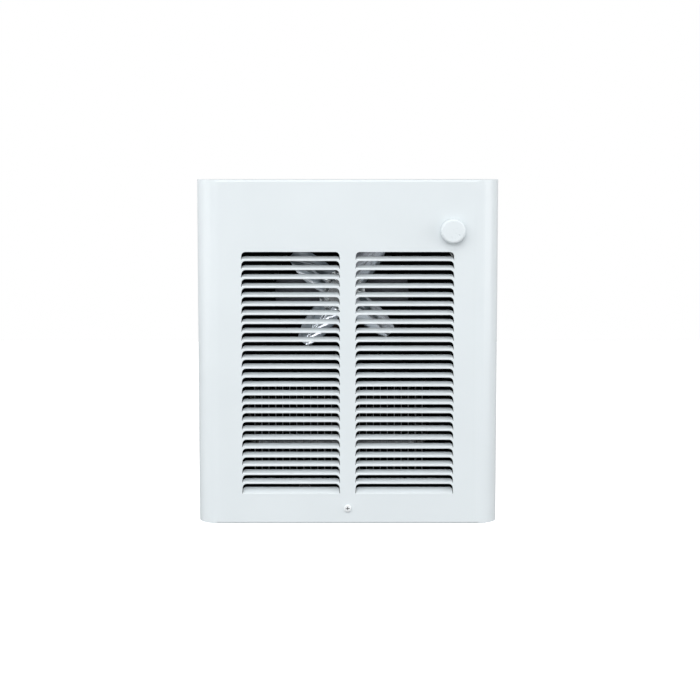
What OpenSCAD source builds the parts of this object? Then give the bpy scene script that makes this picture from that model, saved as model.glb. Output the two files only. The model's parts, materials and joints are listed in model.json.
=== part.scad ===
// Recessed fan-forced wall heater: a louvred enamel cover over a galvanised wall box.
// X points right and Y into the wall, both as seen from the room, and Z points up.
// The origin is the centre of the wall box's back face. Sizes are in millimetres.

/* [Front cover] */
// Width of the cover
cover_w = 410; // [400:1:430]
// Height of the cover
cover_h = 470; // [466:1:490]
// Depth of the cover, from the wall to its face
cover_d = 36; // [34:1:40]
// Radius of the two upright front corners
cover_r = 33; // [20:1:34]
// Radius of the bends above and below the face
cover_edge_r = 3; // [2:0.5:5]
// Thickness of the cover's sheet
cover_t = 1.2; // [1:0.1:1.5]

/* [Louvres] */
// Slots in each bank
louvre_rows = 27; // [20:1:27]
// Height from one slot to the next
louvre_pitch = 12.2; // [12:0.1:12.3]
// Height of a slot
slot_h = 10.6; // [9:0.1:11]
// Width of a slot along its lower edge
slot_w = 133.6; // [120:0.2:136]
// Radius of a slot's upper corners
slot_r = 5.6; // [4:0.1:6]
// Plain strip between the two banks
bank_gap = 21; // [18:1:26]
// Upper edge of the top slot, above the middle of the cover
bank_top = 137.5; // [130:0.5:138]
// Angle between a blade and the face
blade_lean = 72.5; // [60:0.5:80]

/* [Wall box] */
// Width of the wall box
box_w = 364; // [360:1:368]
// Height of the wall box
box_h = 430; // [426:1:434]
// Depth of the wall box
box_d = 100; // [98:1:104]
// Thickness of the box's galvanised sheet
box_t = 1; // [0.8:0.1:1.2]
// Diameter of a half-inch conduit knock-out
knockout_dia = 22.2; // [22:0.1:22.6]
// Diameter of the hole through the supply bushing
supply_bore = 16; // [12:0.5:17]
// Diameter of the screw holes in the box's sides
stud_hole = 5.6; // [4:0.1:6]
// Diameter of the screw holes in the box's back
back_hole = 6; // [5:0.1:7]

/* [Fan] */
// Height of the fan's axis above the middle of the box
fan_z = 77; // [74:1:80]
// Fan axis's distance right of the middle of the box
fan_x = -8; // [-10:1:6]
// Number of blades
fan_blades = 4; // [3:1:5]
// Diameter of the fan
fan_dia = 176; // [160:1:178]
// Diameter of the orifice's throat
throat_dia = 185; // [184:1:186]
// Angle between a blade and the fan's plane
blade_pitch = 24; // [18:1:26]
// Angle of the first blade, from the right
blade_start = 51; // [0:1:90]

/* [Motor] */
// Diameter of the motor shaft
shaft_dia = 6.3; // [6:0.1:6.4]
// Thickness of the stator's stack of laminations
stack_t = 22; // [20:1:23]
// Diameter of the rotor
rotor_dia = 27.2; // [26:0.1:27.2]

/* [Heating element] */
// Diameter of the element's sheath
sheath_dia = 8; // [7:0.5:8.5]
// Diameter of the fins
fin_dia = 20; // [18:0.5:21]
// Distance from one fin to the next
fin_pitch = 3.2; // [3:0.1:4]
// Thickness of a fin
fin_t = 0.5; // [0.4:0.1:0.8]

/* [Outlet guard] */
// Number of upright wires
guard_wires = 25; // [20:1:25]
// Distance from one wire to the next
guard_pitch = 9.65; // [9:0.05:9.65]
// Diameter of the upright wires
guard_wire = 1.4; // [1.4:0.1:2]

/* [Controls] */
// Diameter of the control knob
knob_dia = 33; // [28:1:36]
// How far the knob stands out of the cover
knob_h = 11; // [9:0.5:14]
// Knob's distance right of the cover's middle
knob_x = 142; // [140:1:144]
// Knob's height above the cover's middle
knob_z = 166; // [164:1:168]
// Angle of the knob's dot from the right, at its highest setting
dot_angle = -36; // [-60:1:0]
// Height of the disconnect switch above the middle of the box
switch_z = 40; // [20:1:60]
// Diameter of the reset button
reset_dia = 4.4; // [3:0.1:5]

/* [Hidden] */
$fn = 64;

white_enamel = "#f1f4f6";
zinc = "#b9bdc0";
black_paint = "#2c2d2f";
bright = "#d5d8da";
phenolic = "#1f1f22";
eps = 0.05;

// Planes of the box and cover, front to back
wall_y = -box_d;
face_y = wall_y - cover_d;
sheet_y = face_y + cover_t;
side_x = box_w / 2;
side_in = side_x - box_t;
top_z = box_h / 2;
flange = 12;

// Louvres
blade_taper = 0.5;
bank_x = (bank_gap + slot_w) / 2;
slot_half = slot_w / 2;

// Deck: the plate across the box that carries the fan, the guard and the controls
deck_y = wall_y + 28;
deck_t = 1;
deck_back = deck_y + deck_t;
deck_half_h = top_z - 4;
deck_flange_h = 390;
partition_x = 118;
partition_half_h = top_z - 15;
duct = [[-150, -170], [115, -49]];

// Fan and orifice
fan_y = deck_y - 2;
fan_r = fan_dia / 2;
throat_r = throat_dia / 2;
throat_t = 1;
bell_r = 7;
bell_y = fan_y - 2;
wing_t = 1.2;
wing_tip_r = 24;
wing_edge_r = 90;
wing_edge_off = 71;
wing_mid = 45;
wing_root = 22;
camber_r = 85;
spider_r = 32;
spider_t = 1.6;

// Motor, placed about the fan's axis
shaft_r = shaft_dia / 2;
bore_r = shaft_r + 0.05;
stack_y = wall_y + 64;
stack_back = stack_y + stack_t;
strap_t = 1.5;
strap_y = stack_y - 9;
strap_h = 34;
strap_half = 104;
bolt_x = 22;
bolt_r = 2;
coil_leg_z = -36;
coil_leg_h = 12;

// Element: passes [y, z]; the front pass lies before the other three
front_pass = [-80, -131.5];
low_pass = [-48, -156];
mid_pass = [-48, -107];
high_pass = [-48, -66.7];
sheath_r = sheath_dia / 2;
left_bend_x = -128;
right_bend_x = 97;
bend_reach = 12;
cold_end_x = 126;
plate_x = [left_bend_x + 1, right_bend_x - 1];
fin_run = 216;
fin_x = -123.7;

// Guard
guard_x = -128.5;
guard_y = wall_y + 4;
guard_z = [-173, -46];
rail_r = 1.2;
rail_y = guard_y + guard_wire / 2 + rail_r - 0.3;

// Controls
knob_gap = 1;
thermostat_y = wall_y - 18;
switch_x = 162;
cutout_z = -36;
rocker_r = 10.4;
rocker_w = 13.2;
rocker_tilt = 12;
pivot_y = deck_y + 2;

// ---------------------------------------------------------------- shared helpers

// A shape drawn in X and Z, standing between two Y planes
module along_y(y0, y1) translate([0, y1, 0]) rotate([90, 0, 0]) linear_extrude(height = y1 - y0) children();

// A shape drawn in Y and Z, standing between two X planes
module along_x(x0, x1) translate([x0, 0, 0]) rotate([90, 0, 90]) linear_extrude(height = x1 - x0) children();

// A shape drawn in X and Y, standing between two Z planes
module along_z(z0, z1) translate([0, 0, z0]) linear_extrude(height = z1 - z0) children();

module rod_x(y, z, x0, x1, r) translate([x0, y, z]) rotate([0, 90, 0]) cylinder(h = x1 - x0, r = r);
module rod_y(x, z, y0, y1, r) translate([x, y1, z]) rotate([90, 0, 0]) cylinder(h = y1 - y0, r = r);
module rod_z(x, y, z0, z1, r) translate([x, y, z0]) cylinder(h = z1 - z0, r = r);

module block(low, high) translate(low) cube(high - low);

// A rectangle with rounded corners, between two opposite corners
module rounded(low, high, r) {
    translate([low.x + r, low.y]) square([high.x - low.x - 2 * r, high.y - low.y]);
    translate([low.x, low.y + r]) square([high.x - low.x, high.y - low.y - 2 * r]);
    for (x = [low.x + r, high.x - r], y = [low.y + r, high.y - r]) translate([x, y]) circle(r = r);
}

// A bent strip of sheet in profile: square-cornered, along points that each share a coordinate with the next
module strip(path, t) {
    for (i = [1:len(path) - 1]) {
        a = path[i - 1];
        b = path[i];
        low = [min(a.x, b.x), min(a.y, b.y)];
        high = [max(a.x, b.x), max(a.y, b.y)];
        translate(low - [t / 2, t / 2]) square(high - low + [t, t]);
    }
}

// A screw with its head's underside at the origin and its shank along -Z
module pan_screw(head_r, head_h, shank_r, shank, driver = true) {
    dome_r = head_r * 1.55;
    difference() {
        intersection() {
            cylinder(h = head_h, r = head_r);
            translate([0, 0, head_h - dome_r]) sphere(r = dome_r);
        }
        if (driver) for (turn = [0, 90]) rotate(turn)
            translate([-head_r * 0.55, -head_r * 0.13, head_h * 0.45]) cube([head_r * 1.1, head_r * 0.26, head_h]);
    }
    translate([0, 0, -shank]) cylinder(h = shank + eps, r = shank_r);
}

module hex_nut(across, h, hole_r) difference() {
    cylinder(h = h, d = across / cos(30), $fn = 6);
    translate([0, 0, -1]) cylinder(h = h + 2, r = hole_r);
}

// Moves a child that faces +Z so that it faces the room, at a given place
module facing_room(x, y, z) translate([x, y, z]) rotate([90, 0, 0]) children();

// ---------------------------------------------------------------- front cover

module cover_plan(inset) {
    w = cover_w / 2 - inset;
    r = cover_r - inset;
    y0 = face_y + inset;
    translate([-w + r, y0]) square([2 * (w - r), wall_y + 1 - y0]);
    translate([-w, y0 + r]) square([2 * w, wall_y + 1 - y0 - r]);
    for (side = [-1, 1]) translate([side * (w - r), y0 + r]) circle(r = r);
}

module cover_side(inset) {
    h = cover_h / 2 - inset;
    r = cover_edge_r - inset;
    y0 = face_y + inset;
    translate([y0, -h + r]) square([wall_y + 1 - y0, 2 * (h - r)]);
    translate([y0 + r, -h]) square([wall_y + 1 - y0 - r, 2 * h]);
    for (end = [-1, 1]) translate([y0 + r, end * (h - r)]) circle(r = r);
}

module cover_form(inset) intersection() {
    along_z(-cover_h / 2, cover_h / 2) cover_plan(inset);
    along_x(-cover_w / 2, cover_w / 2) cover_side(inset);
}

// Points along an arc, from one angle to another
function arc(centre, r, from, to, steps = 4) =
    [for (i = [0:steps]) let (a = from + (to - from) * i / steps) centre + r * [cos(a), sin(a)]];
function mirrored(points) = [for (i = [len(points) - 1:-1:0]) [-points[i].x, points[i].y]];

// Right half of a slot's outline, from the middle of its lower edge
slot_side = concat([[slot_half, 0]], arc([slot_half - blade_taper - slot_r, slot_h - slot_r], slot_r, 5, 90, 6));
slot_points = concat(slot_side, mirrored(slot_side));

// Outline of a blade from above, narrower than the slot that it was lanced from
blade_reach = slot_h * sin(blade_lean) + 0.2;
blade_side = concat([[slot_half - 0.7, -cover_t - 1], [slot_half - 0.7, 0]],
    arc([slot_half - 0.7 - blade_taper - slot_r, blade_reach - slot_r], slot_r, 5, 90, 6));
blade_plan = concat(blade_side, mirrored(blade_side));

// A blade in profile about the slot's lower back edge: its root in the face, the bend and the flat
inward = [sin(blade_lean), cos(blade_lean)];
upward = [-cos(blade_lean), sin(blade_lean)];
blade_profile = concat([[-cover_t + 0.2, -0.8], [-0.2, -0.8], [0.35, -0.25]],
    [1.2 * inward, slot_h * inward, slot_h * inward + cover_t * upward],
    arc([0, 0], cover_t, 180 - blade_lean, 180, 6),
    [[-cover_t + 0.2, 0]]);

module louvre_blade() intersection() {
    along_x(-slot_half, slot_half) polygon(blade_profile);
    along_z(-2, slot_h) polygon(blade_plan);
}

function slot_bottom(row) = bank_top - slot_h - row * louvre_pitch;

module front_cover() color(white_enamel) {
    difference() {
        cover_form(0);
        cover_form(cover_t);
        block([-cover_w, wall_y, -cover_h], [cover_w, wall_y + 5, cover_h]);
        along_y(face_y - 1, sheet_y + 1) for (side = [-1, 1], row = [0:louvre_rows - 1])
            translate([side * bank_x, slot_bottom(row)]) polygon(slot_points);
        rod_y(0, cover_screw_z, face_y - 1, sheet_y + 1, 2.6);
        rod_y(knob_x, knob_z, face_y - 1, sheet_y + 1, 8);
    }
    for (side = [-1, 1], row = [0:louvre_rows - 1])
        translate([side * bank_x, sheet_y, slot_bottom(row)]) louvre_blade();
}

cover_screw_z = -cover_h / 2 + 21.4;

module cover_screw() color(bright) facing_room(0, face_y, cover_screw_z) pan_screw(5.25, 3, 2.1, 10);

// Z-shaped bracket from the box's floor to the back of the cover's face
module cover_bracket() color(zinc) {
    floor_z = -top_z + box_t + 0.6;
    shelf_z = cover_screw_z + 13;
    difference() {
        along_x(-15, 15) strip([[wall_y + 18, floor_z], [wall_y + 1.6, floor_z], [wall_y + 1.6, shelf_z],
            [sheet_y + 0.6, shelf_z], [sheet_y + 0.6, shelf_z - 21]], 1.2);
        rod_y(0, cover_screw_z, sheet_y - 1, sheet_y + 2, 2.15);
    }
}

// Two tabs on the box's top that the cover's top edge hangs on
module hanger_tabs() color(zinc) {
    foot_z = top_z - box_t - 0.6;
    shelf_z = cover_h / 2 - cover_t - 0.6;
    for (x = [-120, 120]) along_x(x - 15, x + 15)
        strip([[wall_y + 18, foot_z], [wall_y - 11, foot_z], [wall_y - 11, shelf_z], [wall_y - 27, shelf_z]], 1.2);
}

// ---------------------------------------------------------------- wall box

module wall_box_wrapper() color(zinc) difference() {
    along_z(-top_z, top_z) {
        translate([-side_x, -box_t]) square([box_w, box_t]);
        for (x = [-side_x, side_in]) translate([x, wall_y]) square([box_t, box_d]);
    }
    for (y = stud_y, z = [-stud_z, stud_z]) rod_x(y, z, -side_x - 1, side_x + 1, stud_hole / 2);
    for (x = [-back_x, back_x], z = [-back_z, back_z]) rod_y(x, z, -box_t - 1, 1, back_hole / 2);
    for (z = [-deck_screw_z, deck_screw_z]) rod_x(deck_screw_y, z, -side_x - 1, side_x + 1, 1.9);
    rod_y(ground_at.x, ground_at.y, -box_t - 1, 1, 2);
    for (x = [-90, 90]) translate([x, 0, -back_z]) rotate([90, 0, 0]) knockout_groove(0, 0, 0);
    for (side = [-1, 1], z = [-95, 95])
        translate([side * side_x, -38, z]) rotate([0, -90 * side, 0]) knockout_groove(0, 0, 0);
}

ground_at = [160, -190];
stud_y = [-92, -30];
stud_z = 170;
back_x = 150;
back_z = 180;
deck_screw_z = 140;
deck_screw_y = deck_y - 7;

// End panel of the box: a plate with three flanges turned towards the box's middle
module end_panel(top) {
    z0 = top_z - box_t;
    turned = [z0 - flange, z0 + eps];
    mirror([0, 0, top ? 0 : 1]) {
        block([-side_in, wall_y, z0], [side_in, -box_t, top_z]);
        block([-side_in, -2 * box_t, turned[0]], [side_in, -box_t, turned[1]]);
        for (x = [-side_in, side_in - box_t]) block([x, wall_y + 2, turned[0]], [x + box_t, -box_t - eps, turned[1]]);
    }
}

// Ring-shaped groove that frees a conduit knock-out, half-way through the sheet
module knockout_groove(x, y, z0) difference() {
    rod_z(x, y, z0, z0 + box_t / 2, knockout_dia / 2 + 0.3);
    rod_z(x, y, z0 - 1, z0 + box_t, knockout_dia / 2 - 0.4);
}

module wall_box_top() color(zinc) difference() {
    end_panel(true);
    for (x = [-120, 120]) knockout_groove(x, -45, top_z - box_t / 2);
}

supply_at = [147, -45];

module wall_box_bottom() color(zinc) difference() {
    end_panel(false);
    rod_z(supply_at.x, supply_at.y, -top_z - 1, -top_z + 2, knockout_dia / 2);
    for (x = [-120, 0]) knockout_groove(x, -45, -top_z);
}

// Plastic bushing that snaps into the open knock-out
module supply_bushing() color(phenolic) difference() {
    union() {
        rod_z(supply_at.x, supply_at.y, -top_z - 3, -top_z, knockout_dia / 2 + 3);
        rod_z(supply_at.x, supply_at.y, -top_z - eps, -top_z + 7, knockout_dia / 2 - 0.1);
        rod_z(supply_at.x, supply_at.y, -top_z + box_t, -top_z + 3.5, knockout_dia / 2 + 0.7);
    }
    rod_z(supply_at.x, supply_at.y, -top_z - 4, -top_z + 8, supply_bore / 2);
}

module ground_screw() color("#4d7a4f") facing_room(ground_at.x, -box_t, ground_at.y) {
    cylinder(h = 1.2, r = 5.5);
    translate([0, 0, 1]) cylinder(h = 4, d = 8 / cos(30), $fn = 6);
    translate([0, 0, -box_t]) cylinder(h = box_t + eps, r = 2);
}

// ---------------------------------------------------------------- deck and air path

module fan_deck() color(black_paint) {
    half_w = side_in - 1.4;
    edge_h = deck_flange_h / 2;
    difference() {
        union() {
            block([-half_w, deck_y, -deck_half_h], [half_w, deck_back, deck_half_h]);
            block([-side_in, deck_y, -edge_h], [side_in, deck_back, edge_h]);
            for (x = [-side_in, side_in - deck_t])
                block([x, deck_y - 14, -edge_h], [x + deck_t, deck_y + eps, edge_h]);
        }
        rod_y(fan_x, fan_z, deck_y - 1, deck_back + 1, throat_r + throat_t);
        along_y(deck_y - 1, deck_back + 1) rounded(duct[0], duct[1], 6);
        rod_y(0, cutout_z, deck_y - 1, deck_back + 1, 8.1);
        rod_y(-60, delay_z, deck_y - 1, deck_back + 1, 8.1);
        rod_y(grommet_hole.x, grommet_hole.y, deck_y - 1, deck_back + 1, 7);
        along_y(deck_y - 1, deck_back + 1) translate([switch_x - 10, switch_z - 14]) square([20, 28]);
        for (z = [-deck_screw_z, deck_screw_z]) rod_x(deck_screw_y, z, -side_x, side_x, 1.9);
    }
}

grommet_hole = [150, 125];
delay_z = -198;

module deck_screws() color(bright)
    for (side = [-1, 1], z = [-deck_screw_z, deck_screw_z])
        translate([side * (side_in - deck_t), deck_screw_y, z]) rotate([0, -90 * side, 0]) pan_screw(4, 2.4, 1.85, 4);

// Drawn ring in the deck's hole: a throat that flares to the front
module orifice_ring() color(black_paint) translate([fan_x, 0, fan_z]) rotate([90, 0, 0]) rotate_extrude() {
    translate([throat_r, -(bell_y + 12)]) square([throat_t, 12 + eps]);
    intersection() {
        translate([throat_r + throat_t + bell_r, -bell_y]) difference() {
            circle(r = bell_r + throat_t);
            circle(r = bell_r);
        }
        translate([throat_r, -bell_y]) square(bell_r + throat_t);
    }
}

module control_partition() color(zinc) difference() {
    union() {
        block([partition_x, deck_back, -partition_half_h], [partition_x + 1, -box_t, partition_half_h]);
        block([partition_x, -2 * box_t, -partition_half_h], [partition_x + 13, -box_t, partition_half_h]);
        block([partition_x, deck_back, -partition_half_h], [partition_x + 13, deck_back + 1, partition_half_h]);
    }
    for (p = [low_pass, high_pass]) rod_x(p.x, p.y, partition_x - 1, partition_x + 2, sheath_r + 1.5);
    rod_x(-36, 20, partition_x - 1, partition_x + 2, 5);
}

// Liner of the box's back, whose lower end turns the air forward through the element
module air_baffle() color(black_paint) difference() {
    r = box_d - 31;
    axis = [-box_t - r, -108];
    along_x(-side_in, partition_x) {
        intersection() {
            translate(axis) difference() {
                circle(r = r, $fn = 96);
                circle(r = r - 1, $fn = 96);
            }
            translate([axis.x, axis.y - r - 1]) square(r + 1);
        }
        translate([-box_t - 1, axis.y - eps]) square([1, 308]);
        translate([deck_back, axis.y - r - 10]) square([1, 11]);
    }
    rod_y(-back_x, back_z, -3, 0, back_hole / 2 + 2);
}

// ---------------------------------------------------------------- motor

module about_fan() translate([fan_x, 0, fan_z]) children();

// Strap behind the fan that carries the motor, with feet on the back of the deck
module motor_strap() color(zinc) about_fan() difference() {
    foot_y = deck_back + strap_t / 2;
    bar_y = strap_y + strap_t / 2;
    along_z(-strap_h / 2, strap_h / 2)
        strip([[-strap_half - 10, foot_y], [-strap_half, foot_y], [-strap_half, bar_y],
            [strap_half, bar_y], [strap_half, foot_y], [strap_half + 10, foot_y]], strap_t);
    rod_y(0, 0, strap_y - 1, strap_y + 3, 9.6);
    for (x = [-bolt_x, bolt_x]) rod_y(x, 0, strap_y - 1, strap_y + 3, bolt_r);
}

module motor_stator() color("#6d6f72") about_fan() along_y(stack_y, stack_back) difference() {
    rounded([-30, coil_leg_z - coil_leg_h / 2], [30, 24], 3);
    circle(r = rotor_dia / 2 + 0.4);
    translate([-19, coil_leg_z + coil_leg_h / 2]) square([38, 12]);
    for (x = [-bolt_x, bolt_x]) translate([x, 0]) circle(r = bolt_r);
    for (x = [-13.5, 13.5], z = [-9.5, 9.5]) translate([x, z]) circle(r = 1.6);
}

// Flanged spool round the stator's lower leg
module motor_bobbin() color("#e7e3d4") about_fan() difference() {
    union() {
        coil_box(17, 1);
        for (x = [-18.8, 17]) coil_flange(x);
    }
    coil_hole();
}

module coil_box(half_w, wall) {
    h = coil_leg_h / 2 + wall;
    block([-half_w, stack_y - wall, coil_leg_z - h], [half_w, stack_back + wall, coil_leg_z + h]);
}

module coil_flange(x) {
    h = coil_leg_h / 2 + 10;
    along_x(x, x + 1.8) rounded([stack_y - 7, coil_leg_z - h], [stack_back + 7, coil_leg_z + h], 3);
}

module coil_hole() block([-20, stack_y, coil_leg_z - coil_leg_h / 2], [20, stack_back, coil_leg_z + coil_leg_h / 2]);

// The winding, under its tape
module motor_coil() color("#d9b44a") about_fan() difference() {
    h = coil_leg_h / 2 + 9;
    along_x(-17, 17) rounded([stack_y - 6.4, coil_leg_z - h], [stack_back + 6.4, coil_leg_z + h], 5);
    coil_box(18, 1);
}

// Die-cast bridge over one end of the rotor, with the boss that holds a bearing
module bearing_bridge() {
    difference() {
        union() {
            linear_extrude(height = 7.5) rounded([-29, -7.5], [29, 7.5], 4);
            cylinder(h = 11.5, r = 9);
        }
        translate([0, 0, -1]) cylinder(h = 4.5, r = 15);
        translate([0, 0, -1]) cylinder(h = 14, r = 6);
        for (x = [-bolt_x, bolt_x]) translate([x, 0, -1]) cylinder(h = 10, r = bolt_r);
    }
}

module motor_front_bracket() color("#a9adb1") facing_room(fan_x, stack_y, fan_z) bearing_bridge();

module motor_rear_bracket() color("#a9adb1") translate([fan_x, stack_back, fan_z]) rotate([-90, 0, 0]) bearing_bridge();

module motor_bearings() color("#b08d4f") about_fan()
    for (y = [stack_y - 11.5, stack_back + 3.5]) difference() {
        rod_y(0, 0, y, y + 8, 6);
        rod_y(0, 0, y - 1, y + 9, bore_r);
    }

// Long bolts that clamp the brackets, the stack and the strap together
module motor_bolts() color(bright) about_fan() for (x = [-bolt_x, bolt_x]) {
    rod_y(x, 0, strap_y - 5, stack_back + 7.5 + eps, bolt_r);
    translate([x, stack_back + 7.5, 0]) rotate([-90, 0, 0]) cylinder(h = 2.8, d = 7 / cos(30), $fn = 6);
    facing_room(x, strap_y, 0) cylinder(h = 3.2, d = 7 / cos(30), $fn = 6);
}

module motor_rotor() color("#85888b") about_fan() difference() {
    union() {
        rod_y(0, 0, stack_y + 1, stack_back - 1, rotor_dia / 2);
        rod_y(0, 0, stack_y - 2, stack_back + 2, rotor_dia / 2 - 1.2);
    }
    rod_y(0, 0, stack_y - 5, stack_back + 5, shaft_r);
}

module motor_shaft() color(bright) about_fan() rod_y(0, 0, fan_y - 15, stack_back + 10.5, shaft_r);

// ---------------------------------------------------------------- fan

// One wing flat: a paddle between two edge arcs, with a round tip
module wing_plan() intersection() {
    translate([wing_mid, wing_edge_off]) circle(r = wing_edge_r);
    translate([wing_mid, -wing_edge_off]) circle(r = wing_edge_r);
    hull() for (x = [wing_tip_r, fan_r - wing_tip_r]) translate([x, 0]) circle(r = wing_tip_r);
}

// The same wing pressed to a curve and pitched, about a radius along X
module wing() intersection() {
    along_y(-24, 24) wing_plan();
    rotate([blade_pitch, 0, 0]) translate([0, camber_r, 0]) difference() {
        rod_x(0, 0, wing_root, fan_r + 4, camber_r + wing_t / 2);
        rod_x(0, 0, wing_root - 1, fan_r + 5, camber_r - wing_t / 2);
    }
}

module fan_blade() color("#dfe2e4") translate([fan_x, fan_y, fan_z]) difference() {
    union() {
        rod_y(0, 0, -spider_t / 2, spider_t / 2, spider_r);
        for (i = [0:fan_blades - 1]) rotate([0, -blade_start - i * 360 / fan_blades, 0]) wing();
    }
    rod_y(0, 0, -30, 30, 8);
    at_fan_rivets() rod_y(0, 0, -2, 2, rivet_r);
}

module fan_hub() color("#9a9da0") translate([fan_x, fan_y, fan_z]) difference() {
    union() {
        rod_y(0, 0, -12, 7, 8);
        rod_y(0, 0, -spider_t / 2 - 1.6, -spider_t / 2, hub_flange_r);
    }
    rod_y(0, 0, -13, 8, shaft_r);
    rod_z(0, -7.5, 2, 10, 1.8);
    at_fan_rivets() rod_y(0, 0, -4, 0, rivet_r);
}

hub_flange_r = 19;
rivet_r = 1.6;

// Places a child half-way between the wings, on the hub's flange
module at_fan_rivets() for (i = [0:fan_blades - 1])
    rotate([0, -blade_start - (i + 0.5) * 360 / fan_blades, 0]) translate([15, 0, 0]) children();

// Rivets that hold the hub's flange to the spider
module fan_rivets() color(bright) translate([fan_x, fan_y, fan_z]) at_fan_rivets() {
    front = -spider_t / 2 - 1.6;
    rod_y(0, 0, front - eps, spider_t / 2 + eps, rivet_r);
    facing_room(0, front, 0) intersection() {
        cylinder(h = 1.6, r = 3);
        translate([0, 0, -2.2]) sphere(r = 3.8);
    }
    translate([0, spider_t / 2, 0]) rotate([-90, 0, 0]) cylinder(h = 1, r = 2.4);
}

module fan_set_screw() color("#3a3b3d") translate([fan_x, fan_y - 7.5, fan_z]) rod_z(0, 0, shaft_r, 8, 1.8);

// ---------------------------------------------------------------- heating element

// Points of a squeezed half circle between two passes, bulging towards side
function return_bend(a, b, x, side) = let (mid = (a + b) / 2, half = (a - b) / 2)
    [for (t = [0:15:180]) [x + side * bend_reach * sin(t), mid.x + half.x * cos(t), mid.y + half.y * cos(t)]];

sheath_line = concat([[cold_end_x, low_pass.x, low_pass.y]],
    return_bend(low_pass, front_pass, left_bend_x, -1),
    return_bend(front_pass, mid_pass, right_bend_x, 1),
    return_bend(mid_pass, high_pass, left_bend_x, -1),
    [[cold_end_x, high_pass.x, high_pass.y]]);

module element_sheath() color("#77797c") swept(sheath_line, sheath_r, [0, 1, 0], 16);

// Comb profile of a finned sleeve, in radius and length
function fin_profile(length) = concat([[sheath_r, 0]],
    [for (s = [0:fin_pitch:length - fin_t]) each
        [[sheath_r + 0.4, s], [fin_dia / 2, s], [fin_dia / 2, s + fin_t], [sheath_r + 0.4, s + fin_t]]],
    [[sheath_r + 0.4, length], [sheath_r, length]]);

module finned_sleeve(pass) translate([fin_x, pass.x, pass.y]) rotate([0, 90, 0])
    rotate_extrude() polygon(fin_profile(fin_run));

module element_fins() color("#b4b7b8") for (pass = [front_pass, mid_pass, low_pass, high_pass]) finned_sleeve(pass);

// Upright plate that holds one end of every pass, with feet welded to the back of the deck
module end_plate(x, side) {
    low = duct[0].y + 1;
    high = duct[1].y - 1;
    foot_z = [[low - 5.5, duct[0].y - 0.3], [duct[1].y + 0.3, high + 13]];
    difference() {
        along_x(x - 0.5, x + 0.5) {
            polygon([[-92, low], [-52, low], [-34, low + 19], [-34, high], [-92, high]]);
            translate([deck_back, foot_z[0][0]]) square([6, 8]);
            translate([deck_back, high - 2]) square([10, 15]);
        }
        for (p = [front_pass, low_pass, mid_pass, high_pass]) rod_x(p.x, p.y, x - 1, x + 1, sheath_r);
    }
    for (z = foot_z)
        block([min(x, x + side * 11), deck_back, z[0]], [max(x, x + side * 11), deck_back + 1, z[1]]);
}

module element_end_plates() color(zinc) {
    end_plate(plate_x[0], -1);
    end_plate(plate_x[1], 1);
}

module terminal_insulators() color("#efece2") for (p = [low_pass, high_pass]) difference() {
    union() {
        rod_x(p.x, p.y, cold_end_x, cold_end_x + 7, 3.6);
        rod_x(p.x, p.y, cold_end_x + 2, cold_end_x + 4, 4.6);
    }
    rod_x(p.x, p.y, cold_end_x - 1, cold_end_x + 8, 1.6);
}

// Threaded pins with the nuts that clamp the leads
module terminal_pins() color(bright) for (p = [low_pass, high_pass]) {
    rod_x(p.x, p.y, cold_end_x, cold_end_x + 17, 1.6);
    translate([cold_end_x + 7, p.x, p.y]) rotate([0, 90, 0]) cylinder(h = 2.4, d = 6.4, $fn = 6);
    translate([cold_end_x + 12, p.x, p.y]) rotate([0, 90, 0]) cylinder(h = 2.4, d = 6.4, $fn = 6);
}

// ---------------------------------------------------------------- outlet guard

leg_x = [guard_x - 6, guard_x + (guard_wires - 1) * guard_pitch + 6];

// Upright wires welded to the front of two rails
module outlet_guard() color(bright) {
    for (i = [0:guard_wires - 1])
        rod_z(guard_x + i * guard_pitch, guard_y, guard_z[0] - 1.4, guard_z[1] + 1.4, guard_wire / 2);
    for (z = guard_z) rod_x(rail_y, z, leg_x[0] - 1.8, leg_x[1] + 1.8, rail_r);
}

// Four legs from the deck, each hollowed at its end to seat a rail
module guard_legs() color(bright) for (x = leg_x, z = guard_z) difference() {
    rod_y(x, z, rail_y + 0.5, deck_y, 1.5);
    rod_x(rail_y, z, x - 3, x + 3, rail_r);
}

// ---------------------------------------------------------------- thermostat and knob

// Channel on the deck that carries the thermostat close behind the cover
module thermostat_bracket() color(zinc) {
    t = 1.2;
    front = thermostat_y - t / 2;
    foot = deck_y - t / 2;
    difference() {
        along_z(knob_z - 17, knob_z + 17)
            strip([[knob_x - 35, foot], [knob_x - 24, foot], [knob_x - 24, front],
                [knob_x + 24, front], [knob_x + 24, foot], [knob_x + 34, foot]], t);
        rod_y(knob_x, knob_z, thermostat_y - 2, thermostat_y + 1, 5.2);
    }
}

module thermostat_body() color(phenolic) difference() {
    union() {
        along_y(thermostat_y, thermostat_y + 22)
            rounded([knob_x - 22, knob_z - 16], [knob_x + 22, knob_z + 16], 3);
        rod_y(knob_x, knob_z, thermostat_y - 5, thermostat_y + eps, 5);
        for (x = [-12, 0, 12]) block([knob_x + x - 3, thermostat_y + 21, knob_z - 8],
            [knob_x + x + 3, thermostat_y + 30, knob_z - 7.2]);
    }
    rod_y(knob_x, knob_z, thermostat_y - 6, thermostat_y + 12, 3.05);
}

// Shaft with a flat for the knob
module thermostat_shaft() color(bright) difference() {
    rod_y(knob_x, knob_z, face_y - 7, thermostat_y + 10, 3);
    rotate_about_knob() block([-4, face_y - 8, 1.6], [4, face_y + 4, 5]);
}

module rotate_about_knob() translate([knob_x, 0, knob_z]) rotate([0, -dot_angle, 0]) children();

module knob_profile() {
    r = knob_dia / 2;
    rim = 3.2;
    square([r - rim, knob_h]);
    square([r, knob_h - rim]);
    translate([r - rim, knob_h - rim]) circle(r = rim);
}

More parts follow.
